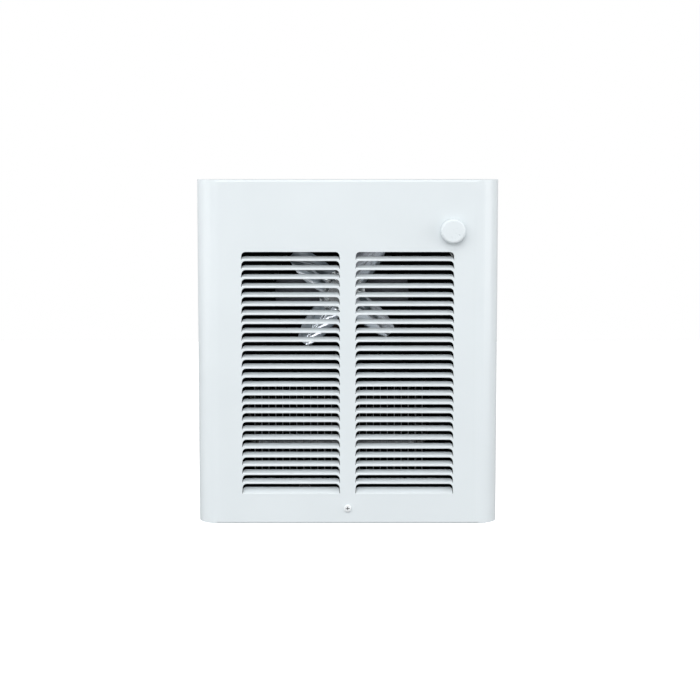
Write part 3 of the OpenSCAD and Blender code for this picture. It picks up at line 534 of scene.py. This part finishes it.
# %% Print of a welding electrode
WELD_RADIUS, WELD_HEIGHT, WELD_RIM, WELD_SLOPE = 0.0031, 0.00025, 0.0005, 0.0006
bpy.ops.mesh.primitive_circle_add(vertices=28, radius=WELD_RADIUS, fill_type="NGON")
weld = bpy.context.object
bpy.ops.object.mode_set(mode="EDIT")
bpy.ops.mesh.select_all(action="SELECT")
bpy.ops.mesh.extrude_region_move(TRANSFORM_OT_translate={"value": (0, 0, WELD_HEIGHT)})
bpy.ops.mesh.inset(thickness=WELD_RIM)
bpy.ops.mesh.inset(thickness=WELD_SLOPE)
bpy.ops.transform.translate(value=(0, 0, -WELD_HEIGHT * 0.7))
bpy.ops.mesh.select_all(action="SELECT")
bpy.ops.mesh.normals_make_consistent(inside=False)
bpy.ops.object.mode_set(mode="OBJECT")
print("faces of a print:", len(weld.data.polygons))

# %% [markdown]
# Three prints in a row hold each side of the wrapper to each flange.

# %% Twelve prints on the box
BOX_SIDE, WELD_LEVEL, WELD_DEPTHS = 0.182, 0.2085, (-0.018, -0.05, -0.082)
prints = []
for side in (-1, 1):
    turn = Matrix.Rotation(side * math.pi / 2, 4, "Y")
    for level in (-WELD_LEVEL, WELD_LEVEL):
        for depth in WELD_DEPTHS:
            place = Matrix.Translation((side * BOX_SIDE, depth, level))
            prints.append(placed_copy(weld, "spot_welds", place @ turn))
bpy.data.objects.remove(weld)
pick(*prints)
bpy.ops.object.join()
spot_welds = bpy.context.object
smooth(spot_welds, 40)
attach(spot_welds, frame["nodes"]["wall_box_wrapper"].parent.name.split(":")[1])
print("spot welds:", len(prints))

# %% [markdown]
# ## Fins in the open and fins in painted shade
# The passes behind the element's front pass lie deep in the box, and their fins are coloured nearly
# black as painted shade. One merged copy takes both finishes, so it only has to stand in for now.

# %% A free copy of the fins
fins = free_copy("element_fins")
smooth(fins, 40)
stand_in(fins, "element_fins")
print("fin faces:", len(fins.data.polygons))

# %% [markdown]
# ## How a finish is built
# Every finish starts from one shader whose constants sit on its own sockets. On top come
# patterns that read the object's own coordinates, so they keep their real size: a mottle in the
# colour, a change in gloss, and a relief such as the dimpled skin of a sprayed coat.


# %% Helpers for finishes
def shader_of(material):
    """The one shader of a finish."""
    return material.node_tree.nodes["Principled BSDF"]


def new_finish(name, **constants):
    """A material with one shader, its constants set on the shader's own sockets."""
    material = bpy.data.materials.new(name)
    material.use_nodes = True
    for constant, value in constants.items():
        socket = constant.replace("_", " ").title().replace("Ior", "IOR")
        shader_of(material).inputs[socket].default_value = value
    return material


def pattern(material, kind, scale, stretch=(1, 1, 1), output=0, **extra):
    """The output of a texture laid on the object's own coordinates, scale features to a metre."""
    nodes, links = material.node_tree.nodes, material.node_tree.links
    place = nodes.get("Place")
    if place is None:
        place = nodes.new("ShaderNodeTexCoord")
        place.name = "Place"
    mapping = nodes.new("ShaderNodeMapping")
    mapping.inputs["Scale"].default_value = stretch
    texture = nodes.new("ShaderNodeTex" + kind)
    texture.inputs["Scale"].default_value = scale
    for setting, value in extra.items():
        if setting[0].isupper():
            texture.inputs[setting].default_value = value
        else:
            setattr(texture, setting, value)
    links.new(place.outputs["Object"], mapping.inputs["Vector"])
    links.new(mapping.outputs["Vector"], texture.inputs["Vector"])
    return texture.outputs[output]


def noise(material, scale, **extra):
    """A cloudy pattern, which most finishes here are made of."""
    return pattern(material, "Noise", scale, **extra)


def mottle(material, source, first, second, edges=(0.3, 0.7)):
    """Blends two colours by a pattern."""
    nodes, links = material.node_tree.nodes, material.node_tree.links
    ramp = nodes.new("ShaderNodeValToRGB")
    for element, edge, colour in zip(ramp.color_ramp.elements, edges, (first, second)):
        element.position, element.color = edge, (*colour, 1)
    links.new(source, ramp.inputs["Fac"])
    links.new(ramp.outputs["Color"], shader_of(material).inputs["Base Color"])


def vary(material, source, low, high):
    """Lets a pattern move the roughness between two values."""
    nodes, links = material.node_tree.nodes, material.node_tree.links
    spread = nodes.new("ShaderNodeMapRange")
    spread.inputs["To Min"].default_value = low
    spread.inputs["To Max"].default_value = high
    links.new(source, spread.inputs["Value"])
    links.new(spread.outputs["Result"], shader_of(material).inputs["Roughness"])


def relief(material, source, height):
    """Raises the surface by a pattern, up to a height in metres, over any relief already there."""
    nodes, links = material.node_tree.nodes, material.node_tree.links
    bump = nodes.new("ShaderNodeBump")
    bump.inputs["Distance"].default_value = height
    links.new(source, bump.inputs["Height"])
    normal = shader_of(material).inputs["Normal"]
    if normal.is_linked:
        links.new(normal.links[0].from_socket, bump.inputs["Normal"])
    links.new(bump.outputs["Normal"], normal)


def give_finish(material, *pieces):
    """Puts one finish on CAD nodes, by name, with what stands in for them, or on new pieces."""
    for piece in pieces:
        named = isinstance(piece, str)
        for target in (frame["nodes"][piece], DRESSED.get(piece)) if named else (piece,):
            if target:
                target.data.materials.clear()
                target.data.materials.append(material)
    print("finish", material.name, "on", *(p if isinstance(p, str) else p.name for p in pieces))


def second_finish(piece, material, wanted):
    """Adds another finish to a piece, on the faces that pass a test."""
    piece.data.materials.append(material)
    for face in piece.data.polygons:
        face.material_index = int(wanted(face.center))
    print(material.name, "faces:", sum(face.material_index for face in piece.data.polygons))


# %% [markdown]
# ## Floor finish
# A matt white paper sweep: almost no pattern, so that nothing draws the eye from the heater. It
# glows a little, so that its far edge doesn't show against the white surround.

# %% White paper
WHITE = (1, 1, 1, 1)
paper = new_finish(
    "white_paper", base_color=(0.94, 0.94, 0.94, 1), roughness=0.9,
    emission_color=WHITE, emission_strength=0.5,
)
vary(paper, noise(paper, 6), 0.85, 0.95)
give_finish(paper, floor)

# %% [markdown]
# ## White enamel
# The cover is steel with a baked white coat, slightly cool. Sprayed powder flows into a faint
# orange peel with dimples of one or two millimetres, which breaks up the reflections. A thin
# clear layer gives the crisp highlight along the rounded corners.

# %% Enamel of the cover
enamel = new_finish(
    "white_enamel", metallic=0.0, ior=1.5, specular_ior_level=0.5,
    coat_weight=0.3, coat_roughness=0.18,
)
mottle(enamel, noise(enamel, 9, Detail=4.0), (0.715, 0.770, 0.797), (0.738, 0.793, 0.820))
vary(enamel, noise(enamel, 70, Detail=2.0), 0.34, 0.46)
relief(enamel, noise(enamel, 520, Detail=1.0), 0.00004)
give_finish(enamel, "front_cover")

# %% [markdown]
# ## Moulded knob
# The knob is white plastic, glossier than the cover. Its mould leaves a very fine grain.

# %% Knob plastic
knob_white = new_finish("knob_plastic", ior=1.47, coat_weight=0.1, coat_roughness=0.1)
clouds = noise(knob_white, 60, Detail=3.0)
mottle(knob_white, clouds, (0.735, 0.792, 0.820), (0.755, 0.812, 0.84))
vary(knob_white, noise(knob_white, 240), 0.24, 0.34)
relief(knob_white, noise(knob_white, 2600, Detail=2.0), 0.000012)
give_finish(knob_white, "control_knob")

# %% [markdown]
# ## Painted screw
# The cover's screw is painted as the cover is, a little brighter and glossier. The recess is
# coloured near-black, as painted shade in its hollow.

# %% Screw paint and painted shade in the recess
RECESS_REACH, RECESS_MOUTH, RECESS_FLOOR = 0.003, -HEAD_HEIGHT + 0.0001, -0.0002
screw_paint = new_finish("painted_screw", ior=1.5, coat_weight=0.3, coat_roughness=0.15)
clouds = noise(screw_paint, 500, Detail=3.0)
mottle(screw_paint, clouds, (0.76, 0.80, 0.82), (0.86, 0.89, 0.90))
vary(screw_paint, noise(screw_paint, 900), 0.25, 0.4)
relief(screw_paint, noise(screw_paint, 1500), 0.00003)
give_finish(screw_paint, "cover_screw")

# Painted shade: the recess is coloured near-black for the shade in its hollow.
bare_recess = new_finish("bare_recess", metallic=0.8)
recess_shade_mottle = noise(bare_recess, 1500, Detail=3.0)
mottle(bare_recess, recess_shade_mottle, (0.03, 0.03, 0.032), (0.09, 0.09, 0.092))
vary(bare_recess, noise(bare_recess, 1200), 0.4, 0.6)


def in_recess(place):
    """Tells whether a place lies inside the cross recess."""
    right, depth, up = place - SCREW_SEAT
    return math.hypot(right, up) < RECESS_REACH and RECESS_MOUTH < depth < RECESS_FLOOR


second_finish(screw, bare_recess, in_recess)

# %% [markdown]
# ## Galvanised sheet
# Hot-dipped zinc freezes into spangles, flat crystals about a centimetre across that each catch
# the light differently. Cells of a Voronoi pattern stand for the crystals: each gets its own
# grey and its own gloss, and a fine noise gives the frosted grain inside them. Zinc soon dulls,
# so the shader counts it as metal only in part.

# %% Zinc spangles
galvanised = new_finish("galvanised_sheet", metallic=0.7)
crystals = pattern(galvanised, "Voronoi", 125, output="Color", Randomness=1.0)
mottle(galvanised, crystals, (0.50, 0.52, 0.54), (0.64, 0.66, 0.68), edges=(0.1, 0.9))
vary(galvanised, crystals, 0.38, 0.50)
relief(galvanised, noise(galvanised, 900, Detail=4.0), 0.00003)
give_finish(
    galvanised, "cover_bracket", "hanger_tabs", "wall_box_wrapper", "wall_box_top",
    "wall_box_bottom", "control_partition", "thermostat_bracket",
)

# %% [markdown]
# Where an electrode has pressed, the zinc has melted and burnt: it is duller, browner and rougher
# than the sheet around it.

# %% Scorched zinc
scorched = new_finish("scorched_zinc", metallic=0.9)
mottle(scorched, noise(scorched, 700, Detail=4.0), (0.16, 0.14, 0.125), (0.40, 0.39, 0.38))
vary(scorched, noise(scorched, 900), 0.42, 0.6)
relief(scorched, noise(scorched, 2400), 0.00003)
give_finish(scorched, spot_welds)

# %% [markdown]
# ## Black paint and painted shade
# The deck, the air baffle and the fan's orifice ring are painted black, and coloured far darker and
# less glossy than black paint is, as painted shade of the box's inside: little but the fan shows
# through the louvres. The paint is matt, with a coarser peel than the enamel.

# %% Matt black, darkened as painted shade
# Painted shade: far darker and less glossy than black paint, for the shade inside the box.
black_paint = new_finish("black_paint", ior=1.5, specular_ior_level=0.02)
clouds = noise(black_paint, 30, Detail=4.0)
mottle(black_paint, clouds, (0.0012, 0.0012, 0.0014), (0.003, 0.0031, 0.0035))
vary(black_paint, noise(black_paint, 45), 0.52, 0.68)
relief(black_paint, noise(black_paint, 650, Detail=2.0), 0.00006)
give_finish(black_paint, "fan_deck", "orifice_ring", "air_baffle")

# %% [markdown]
# ## Plated and ground steel
# Screws and pins are zinc-plated, which is nearly even. Wire and shafts have fine lines: a drawn
# wire along its length, and a ground shaft round it, so their patterns are stretched.

# %% Plating, wire and ground shafts
zinc_plate = new_finish("zinc_plate", metallic=1.0)
mottle(zinc_plate, noise(zinc_plate, 180, Detail=4.0), (0.66, 0.68, 0.70), (0.78, 0.79, 0.80))
vary(zinc_plate, noise(zinc_plate, 420, Detail=3.0), 0.20, 0.34)
relief(zinc_plate, noise(zinc_plate, 1800), 0.00001)
give_finish(
    zinc_plate, "fan_rivets", "deck_screws", "motor_bolts", "terminal_screws", "terminal_pins"
)

guard_wire = new_finish("bright_wire", metallic=1.0)
streaks = noise(guard_wire, 90, stretch=(1, 1, 0.2))
mottle(guard_wire, streaks, (0.19, 0.193, 0.20), (0.27, 0.273, 0.28))
vary(guard_wire, noise(guard_wire, 700, stretch=(1, 1, 0.1)), 0.22, 0.36)
relief(guard_wire, noise(guard_wire, 1500, stretch=(1, 1, 0.08)), 0.00002)
give_finish(guard_wire, "outlet_guard", "guard_legs")

ground_steel = new_finish("ground_steel", metallic=1.0)
mottle(ground_steel, noise(ground_steel, 60), (0.60, 0.60, 0.61), (0.70, 0.70, 0.70))
vary(ground_steel, noise(ground_steel, 1400, stretch=(0.1, 1, 0.1)), 0.16, 0.32)
relief(ground_steel, noise(ground_steel, 3000, stretch=(0.05, 1, 0.05)), 0.000008)
give_finish(ground_steel, "motor_shaft", "thermostat_shaft", "fan_hub")

# %% [markdown]
# ## Aluminium of the fan
# Rolled sheet has long soft streaks, and pressing has left it a little wavy, so each blade shows
# broken highlights. Round the hub the press has drawn the metal most: it is crinkled there, and its
# colour is mottled sharply light and dark, as painted glints and shade of the small facets.

# %% Rolled blades and crinkled spider
SPIDER_RADIUS = 0.031
aluminium = new_finish("rolled_aluminium", metallic=1.0)
mottle(aluminium, noise(aluminium, 22, Detail=4.0), (0.34, 0.36, 0.40), (0.66, 0.69, 0.73))
vary(aluminium, noise(aluminium, 160, stretch=(1, 1, 0.12), Detail=4.0), 0.08, 0.16)
relief(aluminium, noise(aluminium, 40, Detail=1.0), 0.0005)
relief(aluminium, noise(aluminium, 900, stretch=(1, 1, 0.1)), 0.00003)
give_finish(aluminium, "fan_blade")

spider_metal_painted_glints = new_finish("drawn_aluminium", metallic=1.0)
painted_glints = noise(spider_metal_painted_glints, 160, Detail=3.0)
# Painted glints and shade: the colour jumps between near-black and near-white patches.
mottle(spider_metal_painted_glints, painted_glints, (0.16, 0.17, 0.18), (0.86, 0.89, 0.90), edges=(0.42, 0.58))
vary(spider_metal_painted_glints, noise(spider_metal_painted_glints, 160, Detail=4.0), 0.06, 0.16)
relief(spider_metal_painted_glints, noise(spider_metal_painted_glints, 150, Detail=2.0), 0.0024)


def on_spider(place):
    """Tells whether a place lies on the crinkled part round the hub."""
    right, _, up = place - SPIDER_FACE
    return math.hypot(right, up) < SPIDER_RADIUS


second_finish(fan, spider_metal_painted_glints, on_spider)

# %% [markdown]
# ## Dull and blackened steel
# The motor's strap is dull zinc, coloured dark grey all over, and the hub's set screw is oiled
# black steel.

# %% Strap and set screw
dull_zinc = new_finish("dull_zinc", metallic=1.0)
mottle(dull_zinc, noise(dull_zinc, 40, Detail=4.0), (0.10, 0.10, 0.115), (0.17, 0.17, 0.19))
vary(dull_zinc, noise(dull_zinc, 300), 0.5, 0.65)
relief(dull_zinc, noise(dull_zinc, 900), 0.00003)
give_finish(dull_zinc, "motor_strap")

black_screw = new_finish("black_oxide_steel", metallic=1.0)
mottle(black_screw, noise(black_screw, 300), (0.05, 0.05, 0.055), (0.10, 0.10, 0.105))
vary(black_screw, noise(black_screw, 500), 0.35, 0.5)
give_finish(black_screw, "fan_set_screw")

# %% [markdown]
# ## Heating element
# The sheath is stainless tube that hours of heat have turned brown. The fins are plated steel
# strip. The fins of the passes behind the front one, and the end plates, are coloured nearly black:
# painted shade, deep in the box.

# %% Sheath, fins and fins in painted shade
FIN_SHADE_FROM_Y = -0.065
heat_tinted = new_finish("heat_tinted_steel", metallic=1.0)
tints = noise(heat_tinted, 26, Detail=3.0)
mottle(heat_tinted, tints, (0.13, 0.12, 0.115), (0.24, 0.225, 0.21))
vary(heat_tinted, noise(heat_tinted, 300), 0.35, 0.5)
relief(heat_tinted, noise(heat_tinted, 1500), 0.00002)
give_finish(heat_tinted, "element_sheath")

fin_metal = new_finish("plated_fin_strip", metallic=1.0)
mottle(fin_metal, noise(fin_metal, 34, Detail=3.0), (0.22, 0.22, 0.225), (0.34, 0.343, 0.355))
vary(fin_metal, noise(fin_metal, 500), 0.26, 0.42)
relief(fin_metal, noise(fin_metal, 1200), 0.00002)
give_finish(fin_metal, "element_fins")

# Painted shade: fins behind the front pass, and the end plates, are coloured nearly black.
fins_in_painted_shade = new_finish("burnt_fin_strip", metallic=0.6)
mottle(fins_in_painted_shade, noise(fins_in_painted_shade, 40, Detail=3.0), (0.012, 0.011, 0.010), (0.035, 0.030, 0.027))
vary(fins_in_painted_shade, noise(fins_in_painted_shade, 500), 0.5, 0.7)
relief(fins_in_painted_shade, noise(fins_in_painted_shade, 1200), 0.00002)
give_finish(fins_in_painted_shade, "element_end_plates")
# The faces deeper than the front pass take the painted shade.
second_finish(fins, fins_in_painted_shade, lambda place: place.y > FIN_SHADE_FROM_Y)

# %% [markdown]
# ## Motor core and winding
# The stator is a stack of thin laminations, drawn here as fine bands along the shaft, with oxide in
# between. The winding hides under tape on a nylon spool; the tape is coloured near-black, as
# painted shade, since the motor lies in shadow behind the fan.

# %% Laminations, spool and tape
laminations = new_finish("lamination_stack", metallic=1.0)
sheets = pattern(
    laminations, "Wave", 630, wave_type="BANDS", bands_direction="Y", Distortion=0.4
)
mottle(laminations, sheets, (0.10, 0.09, 0.085), (0.34, 0.34, 0.35), edges=(0.1, 0.6))
vary(laminations, noise(laminations, 400), 0.4, 0.6)
relief(laminations, sheets, 0.00008)
give_finish(laminations, "motor_stator", "motor_rotor")

nylon = new_finish("spool_nylon", ior=1.53, subsurface_weight=0.1)
mottle(nylon, noise(nylon, 80), (0.68, 0.64, 0.52), (0.76, 0.73, 0.62))
vary(nylon, noise(nylon, 300), 0.35, 0.5)
relief(nylon, noise(nylon, 1600), 0.00002)
give_finish(nylon, "motor_bobbin")

# Painted shade: the tape is coloured near-black for the shadow the motor lies in.
coil_tape_painted_shade = new_finish("winding_tape", ior=1.5, coat_weight=0.2, coat_roughness=0.2)
turns = pattern(coil_tape_painted_shade, "Wave", 260, wave_type="BANDS", bands_direction="X", Distortion=0.8)
mottle(coil_tape_painted_shade, turns, (0.030, 0.020, 0.012), (0.065, 0.045, 0.028))
vary(coil_tape_painted_shade, noise(coil_tape_painted_shade, 200), 0.25, 0.45)
relief(coil_tape_painted_shade, turns, 0.00018)
give_finish(coil_tape_painted_shade, "motor_coil")

# %% [markdown]
# ## Motor brackets and bearings
# The brackets are die-cast, with a sandy skin. The bearings are sintered bronze, porous and oily.

# %% Castings and bronze
die_cast = new_finish("die_cast_metal", metallic=1.0)
mottle(die_cast, noise(die_cast, 150, Detail=5.0), (0.40, 0.41, 0.42), (0.54, 0.55, 0.56))
vary(die_cast, noise(die_cast, 500), 0.45, 0.62)
relief(die_cast, noise(die_cast, 1100, Detail=3.0), 0.00008)
give_finish(die_cast, "motor_front_bracket", "motor_rear_bracket")

bronze = new_finish("sintered_bronze", metallic=1.0)
mottle(bronze, noise(bronze, 1600, Detail=3.0), (0.22, 0.12, 0.05), (0.52, 0.33, 0.15))
vary(bronze, noise(bronze, 900), 0.3, 0.5)
relief(bronze, noise(bronze, 2200), 0.00003)
give_finish(bronze, "motor_bearings")

# %% [markdown]
# ## Controls and terminals
# Switch and thermostat bodies are pressed phenolic, black with a faint brown fleck. The element's
# terminals stand in glazed porcelain, and the terminal block is matt moulded white.

# %% Phenolic, porcelain and moulded white
phenolic = new_finish("pressed_phenolic", ior=1.55)
flecks = noise(phenolic, 500, Detail=4.0)
mottle(phenolic, flecks, (0.010, 0.0095, 0.009), (0.034, 0.027, 0.023), edges=(0.4, 0.8))
vary(phenolic, noise(phenolic, 120), 0.28, 0.45)
relief(phenolic, noise(phenolic, 900), 0.00003)
give_finish(
    phenolic, "supply_bushing", "thermostat_body", "thermal_cutout", "fan_delay_switch",
    "disconnect_switch", "disconnect_rocker",
)

porcelain = new_finish("glazed_porcelain", ior=1.52, coat_weight=0.6, coat_roughness=0.05)
mottle(porcelain, noise(porcelain, 700, Detail=4.0), (0.74, 0.71, 0.63), (0.82, 0.80, 0.74))
vary(porcelain, noise(porcelain, 200), 0.12, 0.25)
relief(porcelain, noise(porcelain, 400), 0.00004)
give_finish(porcelain, "terminal_insulators")

block_white = new_finish("terminal_block_white", ior=1.5)
mottle(block_white, noise(block_white, 70), (0.70, 0.68, 0.61), (0.77, 0.75, 0.69))
vary(block_white, noise(block_white, 300), 0.45, 0.6)
relief(block_white, noise(block_white, 1500), 0.00003)
give_finish(block_white, "terminal_block")

# %% [markdown]
# ## Coloured parts
# The thermostat's bulb is copper, the reset button is red so that it's found, and the ground
# screw is dyed green, which tells it from the others.

# %% Copper, red and green
copper = new_finish("copper_bulb", metallic=1.0)
mottle(copper, noise(copper, 120, Detail=4.0), (0.55, 0.22, 0.12), (0.80, 0.42, 0.27))
vary(copper, noise(copper, 260), 0.22, 0.42)
relief(copper, noise(copper, 1500), 0.00002)
give_finish(copper, "thermostat_bulb")

red_plastic = new_finish("reset_red", ior=1.48, coat_weight=0.2, coat_roughness=0.1)
mottle(red_plastic, noise(red_plastic, 400), (0.42, 0.012, 0.010), (0.52, 0.022, 0.016))
vary(red_plastic, noise(red_plastic, 500), 0.25, 0.38)
give_finish(red_plastic, "reset_button")

green_dye = new_finish("ground_screw_green", metallic=1.0)
mottle(green_dye, noise(green_dye, 300), (0.08, 0.30, 0.11), (0.16, 0.42, 0.18))
vary(green_dye, noise(green_dye, 500), 0.22, 0.36)
relief(green_dye, noise(green_dye, 1800), 0.00002)
give_finish(green_dye, "ground_screw")

# %% [markdown]
# ## Leads
# The inner leads wear a woven glass sleeve over silicone, each pair in its own colour. A fine
# checker is enough for the weave at this size.


# %% Lead sleeves
def sleeve(name, dark, light, node):
    """A woven sleeve in two tones of one colour."""
    finish = new_finish(name, ior=1.45, sheen_weight=0.3, sheen_roughness=0.4)
    weave = pattern(finish, "Checker", 900, output="Fac")
    mottle(finish, weave, dark, light, edges=(0.2, 0.8))
    vary(finish, noise(finish, 800), 0.5, 0.7)
    relief(finish, noise(finish, 1400), 0.0001)
    give_finish(finish, node)


sleeve("red_sleeve", (0.26, 0.010, 0.012), (0.36, 0.018, 0.018), "element_leads")
sleeve("black_sleeve", (0.012, 0.012, 0.013), (0.03, 0.03, 0.032), "motor_leads")
sleeve("white_sleeve", (0.60, 0.60, 0.57), (0.72, 0.72, 0.69), "control_leads")
print("finishes:", len(bpy.data.materials))
